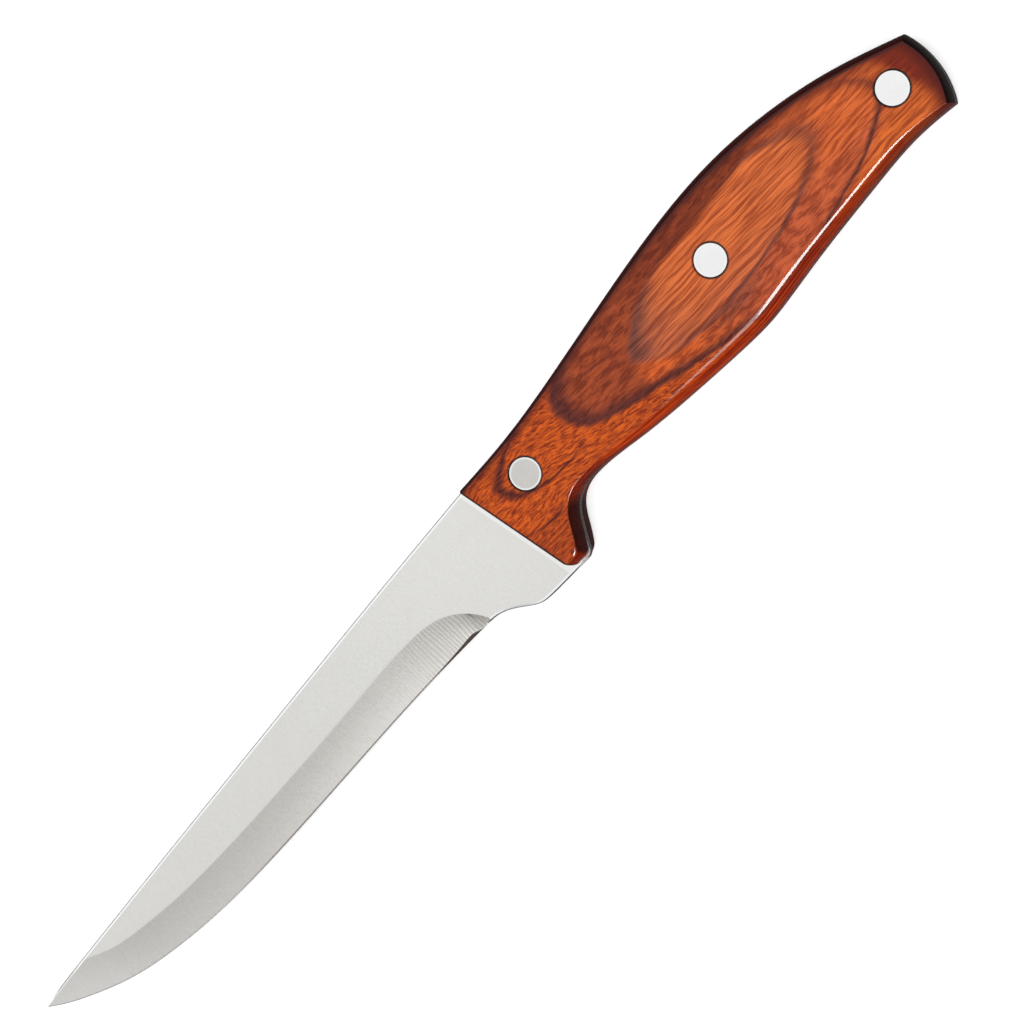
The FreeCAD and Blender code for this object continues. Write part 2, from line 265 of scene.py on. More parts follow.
class Shell:
    """Points and faces of one piece while it is put together."""

    def __init__(self):
        """Start with nothing."""
        self.verts = []
        self.faces = []

    def add(self, points):
        """Add points and return their numbers."""
        first = len(self.verts)
        self.verts += points
        return list(range(first, len(self.verts)))

    def ring(self, outline, z):
        """Add a closed ring of points at one height and return their numbers."""
        return self.add([(x, y, z) for x, y in outline])

    def band(self, a, b):
        """Join two rings with the same number of points."""
        count = len(a)
        for i in range(count):
            j = (i + 1) % count
            self.faces.append((a[i], a[j], b[j], b[i]))

    def plate(self, outer, holes, up):
        """Close a level face between an outer ring and hole rings."""
        rings = [outer] + holes
        numbers = [i for ring in rings for i in ring]
        loops = [[Vector((self.verts[i][0], self.verts[i][1], 0)) for i in ring] for ring in rings]
        for tri in tessellate_polygon(loops):
            face = [numbers[i] for i in tri]
            (ax, ay, _), (bx, by, _), (cx, cy, _) = [self.verts[i] for i in face]
            area = (bx - ax) * (cy - ay) - (cx - ax) * (by - ay)
            if (area > 0) != up:
                face.reverse()
            self.faces.append(tuple(face))

    def outward(self):
        """Faces turned so that they look outwards, judged by the enclosed volume."""
        v = np.array(self.verts)
        volume = 0.0
        for face in self.faces:
            a = v[face[0]]
            for i in range(1, len(face) - 1):
                volume += np.dot(a, np.cross(v[face[i]], v[face[i + 1]]))
        return self.faces if volume > 0 else reversed_faces(self.faces)


def reversed_faces(faces):
    """Faces that look the other way."""
    return [tuple(reversed(face)) for face in faces]


def circle(x, y, radius, samples=72):
    """Round outline, running the same way as the handle outline."""
    angles = -np.linspace(0, 2 * math.pi, samples, endpoint=False)
    return np.stack([x + radius * np.cos(angles), y + radius * np.sin(angles)], 1)


def rivet_places():
    """Centres of the three rivets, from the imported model."""
    places = []
    for name in RIVETS:
        low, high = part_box(name + "_rivet_sleeve")
        middle = ((low + high) / 2 - ORIGIN) / MM
        places.append((middle.x, middle.y))
    return places


# ================================ scales ================================

def eased_side(shell):
    """Side of a scale: rings that follow a quarter ellipse from the plate up to the level face."""
    rings = []
    for level in range(EASE_LEVELS + 1):
        turn = math.pi / 2 * level / EASE_LEVELS
        z = TOP + SCALE * math.sin(turn)
        rise = max(z - (HALF - LIP_R), 0) / LIP_R
        lip = LIP_R * (1 - math.sqrt(max(1 - rise * rise, 0)))
        rings.append(shell.ring(scale_outline(1 - math.cos(turn), lip), z))
    rings.append(shell.ring(scale_outline(FACE_INSET, LIP_R * FACE_LIP), HALF))
    for low, high in zip(rings, rings[1:]):
        shell.band(low, high)
    return rings[0], rings[-1]


def rivet_hole(shell, x, y):
    """Stepped hole with a small break round the seat; returns its upper and lower rim."""
    broken = SEAT_R + SEAT_BREAK
    floor = HALF - SEAT_DEPTH
    steps = [(broken + SEAT_MARGIN, HALF), (broken, HALF), (SEAT_R, HALF - SEAT_BREAK),
             (SEAT_R, floor), (HOLE_R, floor), (HOLE_R, TOP)]
    hole = [shell.ring(circle(x, y, radius), z) for radius, z in steps]
    for high, low in zip(hole, hole[1:]):
        shell.band(high, low)
    return hole[0], hole[-1]


def scale_shell():
    """Scale on the +Z side: elliptical easing up to a level face, with stepped rivet holes."""
    shell = Shell()
    inner_ring, outer_ring = eased_side(shell)
    rims, inner_rims = zip(*[rivet_hole(shell, x, y) for x, y in rivet_places()])
    shell.plate(outer_ring, list(rims), True)
    shell.plate(inner_ring, list(inner_rims), False)
    return shell


def make_scales(material):
    """Both scales: the right one is the left one mirrored through the plate."""
    shell = scale_shell()
    faces = shell.outward()
    make_piece("left_handle_scale", shell.verts, faces, "left_scale", material)
    mirrored = [(x, y, -z) for x, y, z in shell.verts]
    faces = reversed_faces(faces)
    make_piece("right_handle_scale", mirrored, faces, "right_scale", material)


# ================================ blade ================================

def blade_runs():
    """Sampled spine, lower outline and ridge."""
    start = (front_x(BACK_START), BACK_START)
    handle = handle_runs(0, 0)
    spine = np.concatenate([curve(BLADE_SPINE + [start], SPINE_SAMPLES), handle[0][1:SPINE_OVERLAP]])
    heel = curve([tuple(handle[3][-1])] + HEEL + [EDGE_HEEL], HEEL_SAMPLES)
    edge = curve([EDGE_HEEL] + EDGE + [TIP], EDGE_SAMPLES)
    lower = np.concatenate([edge[::-1], heel[::-1]])
    return spine, lower, curve(RIDGE, EDGE_SAMPLES)


def columns():
    """Stations along the blade, closer together at the tip, at the plunge and round the heel."""
    parts = [np.linspace(first, last, count, endpoint=False) for first, last, count in COLUMN_RUNS]
    return np.concatenate(parts + [np.linspace(*LAST_RUN)])


def corner(depth):
    """Drop of a broken corner at a distance from its outline: a flat inner facet and a steep outer one."""
    return max(BREAK - depth, 0) * BREAK_FLAT + max(BREAK_OUTER - depth, 0) * BREAK_STEEP


def edge_half(x):
    """Half thickness above the edge bevel: it grows towards the heel and closes where the edge ends."""
    growth = min(max((x - GROWTH_START) / GROWTH_RUN, 0), 1)
    closing = float(smooth((EDGE_END - x) / EDGE_FADE))
    return CLOSED_HALF + (SHOULDER_HALF - CLOSED_HALF + BEVEL_GROWTH * growth * growth) * closing


def bevel_width(x):
    """Width of the edge bevel."""
    return (edge_half(x) - EDGE_HALF) / math.tan(math.radians(BEVEL_ANGLE))


def plunge(x):
    """Share by which the grind has run out into the full plate behind the edge."""
    return float(smooth((x - PLUNGE_START) / PLUNGE_RUN))


def ground_half(x, y, edge_y, ridge_y):
    """Half thickness of the ground blade before its corners are broken."""
    half, bevel = edge_half(x), bevel_width(x)
    if y < edge_y + bevel and x < EDGE_END:
        return EDGE_HALF + (half - EDGE_HALF) * (y - edge_y) / bevel
    if y < ridge_y:
        fade = plunge(x)
        shoulder = half + (TOP - half) * fade
        u = max((y - edge_y - bevel) / max(ridge_y - edge_y - bevel, 1e-6), 0)
        return shoulder + (TOP - shoulder) * u - 4 * HOLLOW * (1 - fade) * u * (1 - u)
    return TOP


def half_thickness(x, y, edge_y, spine_y, ridge_y, edge_slope, spine_slope):
    """Half thickness of the blade at a point between its edge and its spine."""
    crest = ground_half(x, spine_y, edge_y, ridge_y)
    drop = corner((spine_y - y) / math.hypot(1, spine_slope)) * crest / TOP
    z = min(ground_half(x, y, edge_y, ridge_y), crest - drop)
    if x > EDGE_END:
        depth = TOP - EDGE_HALF - (TOP - corner(0) - EDGE_HALF) * plunge(x)
        z = min(z, TOP - depth * corner((y - edge_y) / math.hypot(1, edge_slope)) / corner(0))
    return z


def slope(run, x):
    """Slope of a run at x."""
    reach = 0.05
    return float(height(run, x + reach) - height(run, x - reach)) / (2 * reach)


def section_rows(x, edge_y, spine_y, ridge_y, edge_slope, spine_slope):
    """Heights of a column's points: the edge or heel corner, the grind, the flat and the spine corner."""
    width = spine_y - edge_y
    bevel = bevel_width(x)
    rounding = BREAK * math.hypot(1, edge_slope)
    past_edge = float(smooth((x - EDGE_END) / BREAK_START))
    low_band = min(bevel + (rounding - bevel) * past_edge, width * LOW_MOST)
    high_band = min(BREAK * math.hypot(1, spine_slope), width * HIGH_MOST)
    shoulder_y = edge_y + low_band
    inner_y = spine_y - high_band
    crest_y = min(max(ridge_y, shoulder_y + LEAST_GAP * width), inner_y - LEAST_GAP * width)
    outer_share = BREAK_OUTER / BREAK
    rows = [edge_y, edge_y + (shoulder_y - edge_y) * outer_share]
    rows += list(np.linspace(shoulder_y, crest_y, GRIND_ROWS))
    rows += list(np.linspace(crest_y, inner_y, FLAT_ROWS))[1:]
    return rows + [spine_y - (spine_y - inner_y) * outer_share, spine_y]


def blade_section(x, spine, lower, ridge):
    """Points of one column, from the edge to the spine, as rows of (x, y, half thickness)."""
    lean = FRONT_LEAN * float(smooth((x - LEAN_START) / LEAN_RUN))
    edge_y = float(height(lower, x))
    up_x = x                                          # where the leaning column meets the spine
    for _ in range(4):
        spine_y = float(height(spine, up_x))
        up_x = x - lean * (spine_y - edge_y)
    slopes = slope(lower, x), slope(spine, up_x)
    ridge_y = float(height(ridge, x)) if x < RIDGE[-1][0] else NO_RIDGE
    result = []
    for y in section_rows(x, edge_y, spine_y, ridge_y, *slopes):
        px = x + (up_x - x) * (y - edge_y) / (spine_y - edge_y)
        result.append((px, y, half_thickness(x, y, edge_y, spine_y, ridge_y, *slopes)))
    return result


def blade_shell():
    """The ground blade as columns of rows on both sides, and the tang as a level plate behind it."""
    spine, lower, ridge = blade_runs()
    shell = Shell()
    rings = []
    for x in columns():
        top = blade_section(float(x), spine, lower, ridge)
        rings.append(shell.add(top + [(px, y, -z) for px, y, z in reversed(top)]))
    for a, b in zip(rings, rings[1:]):
        shell.band(a, b)
    tip = rings[0]
    for i in range(len(tip) // 2 - 1):
        shell.faces.append((tip[i + 1], tip[i], tip[-1 - i], tip[-2 - i]))
    tang(shell, rings[-1])
    return shell


def tang(shell, last):
    """Level plate of the tang, from the last blade column round the handle outline."""
    half = len(last) // 2
    runs = handle_runs(0, 0)
    outline = np.concatenate([runs[0][1:-1], runs[1][:-1], runs[2][:-1], runs[3]])
    low_x, high_x = shell.verts[last[0]][0], shell.verts[last[half - 1]][0]
    keep = [p for p in outline if p[0] > (high_x if p[1] > 0 else low_x) + TANG_GAP]
    top = shell.ring(keep, TOP)
    bottom = shell.ring(keep, -TOP)
    shell.band([last[half - 1]] + top + [last[0]], [last[half]] + bottom + [last[-1]])
    shell.faces.pop()                                 # the band's closing face would lie inside the blade
    holes = [circle(x, y, HOLE_R) for x, y in rivet_places()]
    upper_rims = [shell.ring(hole, TOP) for hole in holes]
    shell.plate(last[:half] + top, upper_rims, True)
    lower_rims = [shell.ring(hole, -TOP) for hole in holes]
    shell.plate(last[half:][::-1] + bottom, lower_rims, False)
    for a, b in zip(upper_rims, lower_rims):
        shell.band(a, b)


def make_blade(material):
    """Blade and tang in one piece, with every facet kept crisp."""
    shell = blade_shell()
    make_piece("ground_blade", shell.verts, shell.outward(), "blade_and_tang", material, 2.2)


# ================================ node helpers ================================

def srgb(red, green, blue):
    """Linear colour from display values."""
    linear = []
    for value in (red, green, blue):
        share = value / 255
        linear.append(share / 12.92 if share <= 0.04045 else ((share + 0.055) / 1.055) ** 2.4)
    return (linear[0], linear[1], linear[2], 1.0)


class Nodes:
    """Short calls that add shader nodes to one tree and return their output sockets."""

    def __init__(self, tree):
        """Work on this tree."""
        self.tree = tree

    def add(self, kind, values=(), out=0, **settings):
        """Add a node with its settings, and set or link its inputs."""
        node = self.tree.nodes.new(kind)
        for key, value in settings.items():
            setattr(node, key, value)
        for key, value in dict(values).items():
            if isinstance(value, bpy.types.NodeSocket):
                self.tree.links.new(value, node.inputs[key])
            else:
                node.inputs[key].default_value = value
        return node.outputs[out]

    def math(self, operation, a, b=0.0):
        """Any math node."""
        return self.add("ShaderNodeMath", {0: a, 1: b}, operation=operation)

    def times(self, first, *others):
        """Product of the values."""
        for other in others:
            first = self.math("MULTIPLY", first, other)
        return first

    def plus(self, a, b):
        """Sum of two values."""
        return self.math("ADD", a, b)

    def minus(self, a, b):
        """First value without the second."""
        return self.math("SUBTRACT", a, b)

    def larger(self, a, b):
        """Larger of two values."""
        return self.math("MAXIMUM", a, b)

    def vector(self, operation, a, b=(0, 0, 0)):
        """Any vector math node."""
        return self.add("ShaderNodeVectorMath", {0: a, 1: b}, operation=operation)

    def length(self, vector):
        """Length of a vector."""
        return self.add("ShaderNodeVectorMath", {0: vector}, out=1, operation="LENGTH")

    def split(self, vector):
        """Components of a vector."""
        node = self.tree.nodes.new("ShaderNodeSeparateXYZ")
        self.tree.links.new(vector, node.inputs[0])
        return node.outputs

    def join(self, x, y, z=0.0):
        """Vector from its components."""
        return self.add("ShaderNodeCombineXYZ", {0: x, 1: y, 2: z})

    def step(self, value, low, high):
        """Smooth rise from 0 at low to 1 at high, or fall when low is above high."""
        ends = (1.0, 0.0) if low > high else (0.0, 1.0)
        values = {0: value, 1: min(low, high), 2: max(low, high), 3: ends[0], 4: ends[1]}
        return self.add("ShaderNodeMapRange", values, interpolation_type="SMOOTHSTEP")

    def ridge(self, value, middle, below, above):
        """Smooth hump that peaks at middle."""
        rise = self.step(value, middle - below, middle)
        return self.math("MINIMUM", rise, self.step(value, middle + above, middle))

    def mix(self, share, a, b, blend="MIX"):
        """Colour b laid over colour a by a share."""
        values = {"Factor": share, 6: a, 7: b}
        return self.add("ShaderNodeMix", values, out=2, data_type="RGBA", blend_type=blend)

    def noise(self, vector, scale=1.0, detail=2.0, roughness=0.5, distortion=0.0, out=0):
        """Soft noise over a vector."""
        values = {"Vector": vector, "Scale": scale, "Detail": detail, "Roughness": roughness}
        values["Distortion"] = distortion
        return self.add("ShaderNodeTexNoise", values, out=out)

    def streaks(self, place, scale, detail=2.0, roughness=0.5, distortion=0.0):
        """Noise with its own scale along each axis, in cycles per millimetre."""
        return self.noise(self.vector("MULTIPLY", place, scale), 1.0, detail, roughness, distortion)

    def bump(self, strength, distance, relief):
        """Normal from a relief, with its height in metres."""
        return self.add("ShaderNodeBump", {"Strength": strength, "Distance": distance, "Height": relief})

    def place(self):
        """Position in millimetres from the centre of the front rivet and the middle of the plate."""
        here = self.add("ShaderNodeTexCoord", out=3)
        return self.vector("MULTIPLY", self.vector("SUBTRACT", here, tuple(ORIGIN)), (1000, 1000, 1000))

    def facing(self):
        """Components of the surface normal."""
        return self.split(self.add("ShaderNodeNewGeometry", out=1))


def new_material(name):
    """Empty node material with its Principled shader and a node helper."""
    material = bpy.data.materials.new(name)
    material.use_nodes = True
    tree = material.node_tree
    return material, tree.nodes["Principled BSDF"], Nodes(tree)


def connect(nodes, shader, **sockets):
    """Link sockets to the shader's inputs of the same names."""
    for key, value in sockets.items():
        nodes.tree.links.new(value, shader.inputs[key.replace("_", " ")])


# ================================ steel ================================

# In the material functions, steps and ridges over x and y are stations in millimetres on the drawing of
# the knife, those over parts of the normal are slopes, and the colours are what should show on a display.
WHITE = (1, 1, 1, 1)
WAVE_PITCH = 0.86


def grind_shade_tone(n, x, down):
    """Tone of the hollow grind, picked by its slope: painted shade makes the steeper part by the ridge
    darker. It gets lighter towards the heel, first along the edge, and lighter again at the tip.
    """
    towards_heel = n.step(x, -115.0, -50.0)
    near_edge = n.mix(towards_heel, srgb(227, 224, 220), srgb(251, 249, 244))
    near_ridge = n.mix(towards_heel, srgb(226, 223, 218), srgb(237, 234, 229))
    tone = n.mix(n.step(down, 0.05, 0.125), near_edge, near_ridge)
    return n.mix(n.step(x, -132.0, -152.0), tone, srgb(235, 233, 229))


def flat_tone(n, x, p):
    """Tone of the flat of the blade, with soft clouds."""
    tone = n.mix(n.step(x, -80.0, -20.0), srgb(231, 230, 226), srgb(237, 236, 232))
    cloud = n.streaks(p, (0.08, 0.16, 1.0))
    return n.mix(n.times(cloud, 0.16), tone, WHITE)


def bevel_shade_share(n, x, down):
    """Share of painted shade on the edge bevel, picked by its slope: none at the tip, half in the middle,
    most near the heel.
    """
    bevel = n.times(n.step(down, 0.2, 0.28), n.step(down, 0.62, 0.5))
    reach = n.larger(n.times(n.step(x, -52.0, -42.0), 0.95), n.times(n.step(x, -118.0, -96.0), 0.55))
    return n.times(bevel, n.times(reach, n.step(x, -30.8, -31.6)))


def corner_highlights_and_strip(n, x, y, down):
    """Painted highlights on the spine corner and the heel corner, picked by their slope, and a narrow white
    strip beside the scales.
    """
    spine_corner = n.step(n.times(down, -1.0), 0.14, 0.22)
    heel_corner = n.times(n.step(down, 0.28, 0.38), n.step(x, -31.0, -29.5))
    beside = n.plus(n.minus(x, FRONT_X), n.times(y, FRONT_LEAN))
    strip = n.times(n.step(beside, -2.6, -2.35), 0.8)
    return n.larger(n.larger(spine_corner, heel_corner), strip)


def heel_wave(n, x, p):
    """Regular grinding waves across the blade that wander a little."""
    wander = n.times(n.streaks(p, (0.2, 0.03, 1.0), detail=1.0), 1.3)
    return n.math("SINE", n.times(n.plus(x, wander), 2 * math.pi / WAVE_PITCH))


def steel_tone(n, p, down, hollow, near_heel, fine, lines, wave):
    """Colour of the steel with its brushing lines, grinding streaks, grooves, painted shade on the grind and
    the bevel, painted highlights on the corners and a white strip beside the scales.
    """
    x, y = n.split(p)[:2]
    # painted shade: the grind's tone follows its slope
    tone = n.mix(hollow, flat_tone(n, x, p), grind_shade_tone(n, x, down))
    tone = n.mix(n.times(n.step(lines, 0.6, 0.36), 0.07), tone, srgb(150, 146, 140))
    streaked = n.times(n.step(x, -128.0, -60.0), n.times(hollow, n.step(fine, 0.55, 0.38)))
    tone = n.mix(n.times(streaked, 0.06), tone, srgb(140, 130, 120))
    grooves = n.times(n.step(wave, -0.2, 0.9), near_heel)
    tone = n.mix(n.times(grooves, 0.3), tone, srgb(140, 126, 116))
    # painted shade on the edge bevel
    tone = n.mix(bevel_shade_share(n, x, down), tone, srgb(84, 68, 58))
    # painted highlights on the corners, and the white strip beside the scales
    return n.mix(corner_highlights_and_strip(n, x, y, down), tone, WHITE)


def steel_material():
    """Cross-brushed stainless steel: fine lines across the blade, coarser grinding ripples in the hollow."""
    material, shader, n = new_material("cross_brushed_steel")
    p = n.place()
    x = n.split(p)[0]
    fine = n.streaks(p, (7.0, 0.3, 1.0), detail=3.0, roughness=0.65)
    coarse = n.streaks(p, (1.6, 0.12, 1.0))
    down = n.times(n.facing()[1], -1.0)
    hollow = n.times(n.step(down, 0.015, 0.04), n.step(down, 0.4, 0.25))
    plunge_share = n.times(n.step(x, -66.0, -36.0), hollow)
    near_heel = n.times(plunge_share, plunge_share)
    wave = heel_wave(n, x, p)
    lines = n.plus(n.times(fine, 0.7), n.times(coarse, 0.3))
    tone = steel_tone(n, p, down, hollow, near_heel, fine, lines, wave)
    rough = n.plus(0.2, n.times(lines, 0.16))
    relief = n.plus(n.plus(n.times(fine, 0.5), n.times(coarse, 0.1)), n.times(wave, near_heel, 1.3))
    connect(n, shader, Base_Color=tone, Roughness=rough, Normal=n.bump(0.35, 0.000008, relief))
    shader.inputs["Metallic"].default_value = 1.0
    return material


def rivet_material(name, tone, centre):
    """Satin aluminium with a faint lapped texture and a painted highlight: a brighter rim round the head."""
    material, shader, n = new_material(name)
    p = n.place()
    lap = n.streaks(p, (1.2, 5.0, 1.0), detail=3.0)
    cloud = n.noise(p, scale=0.35)
    darker = srgb(*[value - 7 for value in tone])
    lighter = srgb(*[min(value + 5, 255) for value in tone])
    x, y = n.split(p)[:2]
    radius = n.length(n.join(n.minus(x, centre[0]), n.minus(y, centre[1])))
    # painted highlight: white mixed in round the rim of the head
    colour = n.mix(n.times(n.step(radius, *HEAD_HIGHLIGHT_RIM), 0.85), n.mix(cloud, darker, lighter), WHITE)
    rough = n.plus(0.2, n.times(lap, 0.12))
    connect(n, shader, Base_Color=colour, Roughness=rough, Normal=n.bump(0.2, 0.000006, lap))
    shader.inputs["Metallic"].default_value = 1.0
    return material


# ================================ laminated wood: figure ================================

LACQUER_SHEEN, LIGHT_SHARE, LEAST = 0.013, 0.67, 0.002


def veneer(red, green, blue):
    """Wood colour that shows as these display values under the studio light and the lacquer's sheen."""
    linear = srgb(red, green, blue)[:3]
    return tuple(max(value - LACQUER_SHEEN, LEAST) * LIGHT_SHARE for value in linear) + (1.0,)


ORANGE, EMBER, RUST, PLUM = veneer(188, 79, 34), veneer(203, 95, 50), veneer(150, 67, 42), veneer(90, 46, 43)
LOOP, BUTT_RED, HONEY = veneer(88, 40, 37), veneer(126, 45, 23), veneer(206, 101, 55)
OVAL_CENTRE, OVAL_SIZE, INNER_TURN = (59.5, 3.0), (47.0, 13.6), 6.5
LOOP_CENTRE, LOOP_SIZE = (7.0, 1.0), (12.2, 5.5)


def oval(n, x, y, centre, size, turn=0.0):
    """Distance from a centre measured in an oval: 1 on the oval itself."""
    c, s = math.cos(math.radians(turn)), math.sin(math.radians(turn))
    dx, dy = n.minus(x, centre[0]), n.minus(y, centre[1])
    along = n.plus(n.times(dx, c / size[0]), n.times(dy, s / size[0]))
    across = n.minus(n.times(dy, c / size[1]), n.times(dx, s / size[1]))
    return n.math("SQRT", n.plus(n.times(along, along), n.times(across, across)))


def ovals(n, x, y):
    """Outer oval, which swells a little along the belly, and the inner oval, which is turned against it."""
    swell = n.times(n.ridge(x, 65.0, 25.0, 25.0), n.step(y, 0.0, -6.0))
    outer = oval(n, x, n.plus(y, n.times(swell, 2.2)), OVAL_CENTRE, OVAL_SIZE)
    return outer, oval(n, x, y, OVAL_CENTRE, OVAL_SIZE, INNER_TURN)


def between_ovals(n, x, y, rear):
    """Rust-coloured wood between the ovals, lighter along the belly and towards the butt."""
    low_front = n.times(n.step(y, 0.5, -2.5), n.step(x, 29.5, 33.0))
    front_colour = n.mix(low_front, RUST, veneer(199, 88, 43))
    front_colour = n.mix(n.step(x, 46.0, 58.0), front_colour, veneer(182, 83, 52))
    rear_colour = n.mix(n.step(y, 0.5, -3.0), EMBER, veneer(188, 88, 52))
    return n.mix(rear, front_colour, rear_colour)


def outside_ovals(n, x, y):
    """Orange wood outside the ovals, darker along the belly and lighter towards the butt."""
    front_colour = n.mix(n.step(y, -7.0, -12.5), ORANGE, veneer(166, 69, 34))
    return n.mix(n.step(x, 80.0, 95.0), front_colour, veneer(204, 96, 46))


def heart_wood(n, y, front, rear):
    """Light wood inside the inner oval, duller in front and along its belly side."""
    colour = n.mix(rear, n.mix(front, HONEY, veneer(174, 90, 60)), veneer(204, 101, 55))
    return n.mix(n.times(n.step(y, 2.5, -3.5), 0.7), colour, veneer(184, 91, 57))


def crown_share(n, x, y):
    """Share of the dark wood under the crown of the handle back."""
    rise = n.times(n.minus(x, 63.0), 0.11)
    return n.times(n.step(n.minus(y, rise), 9.2, 11.1), n.step(x, 94.0, 80.0))


def outer_ring(n, x, y, outer, rear):
    """Share of the dark outer ring: broad in front, thin and partly faded at the rear."""
    start, middle = n.ridge(outer, 0.968, 0.12, 0.05), n.ridge(outer, 0.965, 0.15, 0.05)
    broad = n.mix(n.step(x, 26.0, 40.0), start, middle)
    thin = n.ridge(outer, 0.925, 0.05, 0.03)
    fade = n.minus(1.0, n.times(rear, n.step(y, -1.0, 4.0), 0.45))
    return n.times(n.mix(rear, broad, thin), fade, 0.95)


def inner_ring(n, x, y, inner, front, rear, crown):
    """Share of the dark inner ring, which is broad in front and fades under the crown."""
    lifted = n.larger(n.step(y, -3.0, 0.0), n.step(x, 39.0, 45.0))
    broad = n.times(n.ridge(inner, 0.57, 0.14, 0.06), lifted)
    narrow = n.mix(rear, n.ridge(inner, 0.60, 0.055, 0.06), n.ridge(inner, 0.60, 0.08, 0.1))
    faded = n.times(narrow, n.minus(0.95, n.times(rear, 0.35)))
    ring = n.mix(front, faded, n.times(broad, 0.92))
    return n.times(ring, n.minus(1.0, n.times(crown, 0.85)))


def smear_share(n, x, y, inner):
    """Share of the dull patch below the inner oval."""
    patch = n.times(n.ridge(x, 54.0, 12.0, 14.0), n.step(y, -2.0, -4.0))
    return n.times(n.ridge(inner, 0.68, 0.1, 0.2), patch, 0.75)


def loop_share(n, x, y):
    """Share of the dark loop round the front rivet, open towards the butt."""
    loop = oval(n, x, y, LOOP_CENTRE, LOOP_SIZE)
    open_end = n.larger(n.step(x, 9.0, 3.0), n.times(n.step(y, 0.0, -2.0), n.step(x, 16.0, 8.0)))
    hoop = n.mix(n.step(x, -5.0, 3.0), n.ridge(loop, 1.06, 0.18, 0.2), n.ridge(loop, 1.06, 0.09, 0.09))
    return n.times(hoop, open_end, 0.95)


def dash_share(n, x, y):
    """Share of the short dark line that hangs across the guard."""
    from_dip = n.plus(x, 3.0)
    hang = n.minus(y, n.times(from_dip, from_dip, 0.045))
    return n.times(n.ridge(hang, -10.3, 0.6, 0.55), n.ridge(x, -3.5, 8.5, 8.0))


def wood_figure(n, x, y):
    """Growth-ring figure of the veneer: two ovals round the middle rivet and a loop at the front one."""
    outer, inner = ovals(n, x, y)
    front, rear = n.step(x, 52.0, 36.0), n.step(x, 72.0, 90.0)
    crown = crown_share(n, x, y)
    colour = n.mix(n.step(outer, 0.93, 1.03), between_ovals(n, x, y, rear), outside_ovals(n, x, y))
    colour = n.mix(n.step(inner, 0.62, 0.55), colour, heart_wood(n, y, front, rear))
    colour = n.mix(n.times(crown, n.step(x, 30.0, 56.0)), colour, veneer(128, 56, 36))
    colour = n.mix(outer_ring(n, x, y, outer, rear), colour, PLUM)
    ring_colour = n.mix(front, veneer(116, 62, 52), veneer(112, 64, 56))
    colour = n.mix(inner_ring(n, x, y, inner, front, rear, crown), colour, ring_colour)
    colour = n.mix(smear_share(n, x, y, inner), colour, veneer(112, 60, 50))
    colour = n.mix(loop_share(n, x, y), colour, LOOP)
    colour = n.mix(dash_share(n, x, y), colour, LOOP)
    towards_butt = n.step(n.plus(x, n.times(y, 0.3)), 106.0, 109.4)
    return n.mix(towards_butt, colour, BUTT_RED), outer, inner


# ================================ laminated wood: fibres and edges ================================

def push(n, p, scale, reach):
    """Shift along and across the handle by a soft noise."""
    cloud = n.noise(n.vector("MULTIPLY", p, scale), out=1)
    return n.vector("MULTIPLY", n.vector("SUBTRACT", cloud, (0.5, 0.5, 0.5)), reach)


def grain(n, p, coarse, fine):
    """Streaks from two noises stretched along the handle."""
    broad = n.streaks(p, coarse, detail=3.0, roughness=0.6, distortion=0.3)
    thin = n.streaks(p, fine, roughness=0.6)
    return n.plus(n.times(broad, 0.6), n.times(thin, 0.4))


def fibre_pattern(n, drifted, warped, outside, heart):
    """Fibres: wavy outside the ovals, straight in the heart, mottled and then drawn out between."""
    x = n.split(warped)[0]
    fall = n.times(n.larger(n.minus(x, 3.0), 0.0), 0.22)
    wavy = grain(n, n.vector("ADD", warped, n.join(0.0, fall)), (0.36, 2.2, 0.0), (0.9, 6.0, 0.0))
    straight = grain(n, drifted, (0.06, 1.5, 0.0), (0.15, 4.2, 0.0))
    mottled = grain(n, warped, (0.26, 0.75, 0.0), (0.3, 4.2, 0.0))
    drawn_out = grain(n, drifted, (0.12, 1.5, 0.0), (0.35, 5.5, 0.0))
    between = n.mix(n.step(x, 78.0, 92.0), mottled, drawn_out)
    return n.mix(outside, n.mix(heart, between, straight), wavy)


def fibre_colour(n, colour, p, drifted, warped, x0, outer, inner):
    """Darker and lighter fibres over the figure, and dark pores."""
    outside = n.times(n.step(outer, 0.95, 1.03), n.step(x0, 75.0, 50.0))
    pattern = fibre_pattern(n, drifted, warped, outside, n.step(inner, 0.66, 0.56))
    contrast = n.plus(0.72, n.times(outside, 0.28))
    share = n.plus(0.5, n.times(n.minus(n.step(pattern, 0.39, 0.61), 0.5), contrast))
    dark = n.mix(1.0, colour, (0.44, 0.27, 0.22, 1), "MULTIPLY")
    light = n.mix(1.0, colour, (1.5, 1.78, 1.95, 1), "MULTIPLY")
    colour = n.mix(share, dark, light)
    pores = n.step(n.streaks(p, (0.35, 5.0, 0.0), roughness=0.6), 0.58, 0.72)
    return n.mix(n.times(pores, 0.45), colour, n.mix(1.0, colour, (0.5, 0.36, 0.38, 1), "MULTIPLY"))


def back_line(n, x):
    """Height of the handle back at x, as a curve node through the outline's points."""
    node = n.tree.nodes.new("ShaderNodeFloatCurve")
    start, run, rise = -20.0, 140.0, 20.0
    outline = [(front_x(BACK_START), BACK_START)] + HANDLE_SPINE + [BUTT_TOP]
    places = [((px - start) / run, py / rise) for px, py in outline]
    mapped = node.mapping.curves[0].points
    mapped[0].location, mapped[1].location = places[0], places[-1]
    for px, py in places[1:-1]:
        mapped.new(px, py)
    node.mapping.update()
    n.tree.links.new(n.math("DIVIDE", n.minus(x, start), run), node.inputs["Value"])
    return n.times(node.outputs[0], rise)


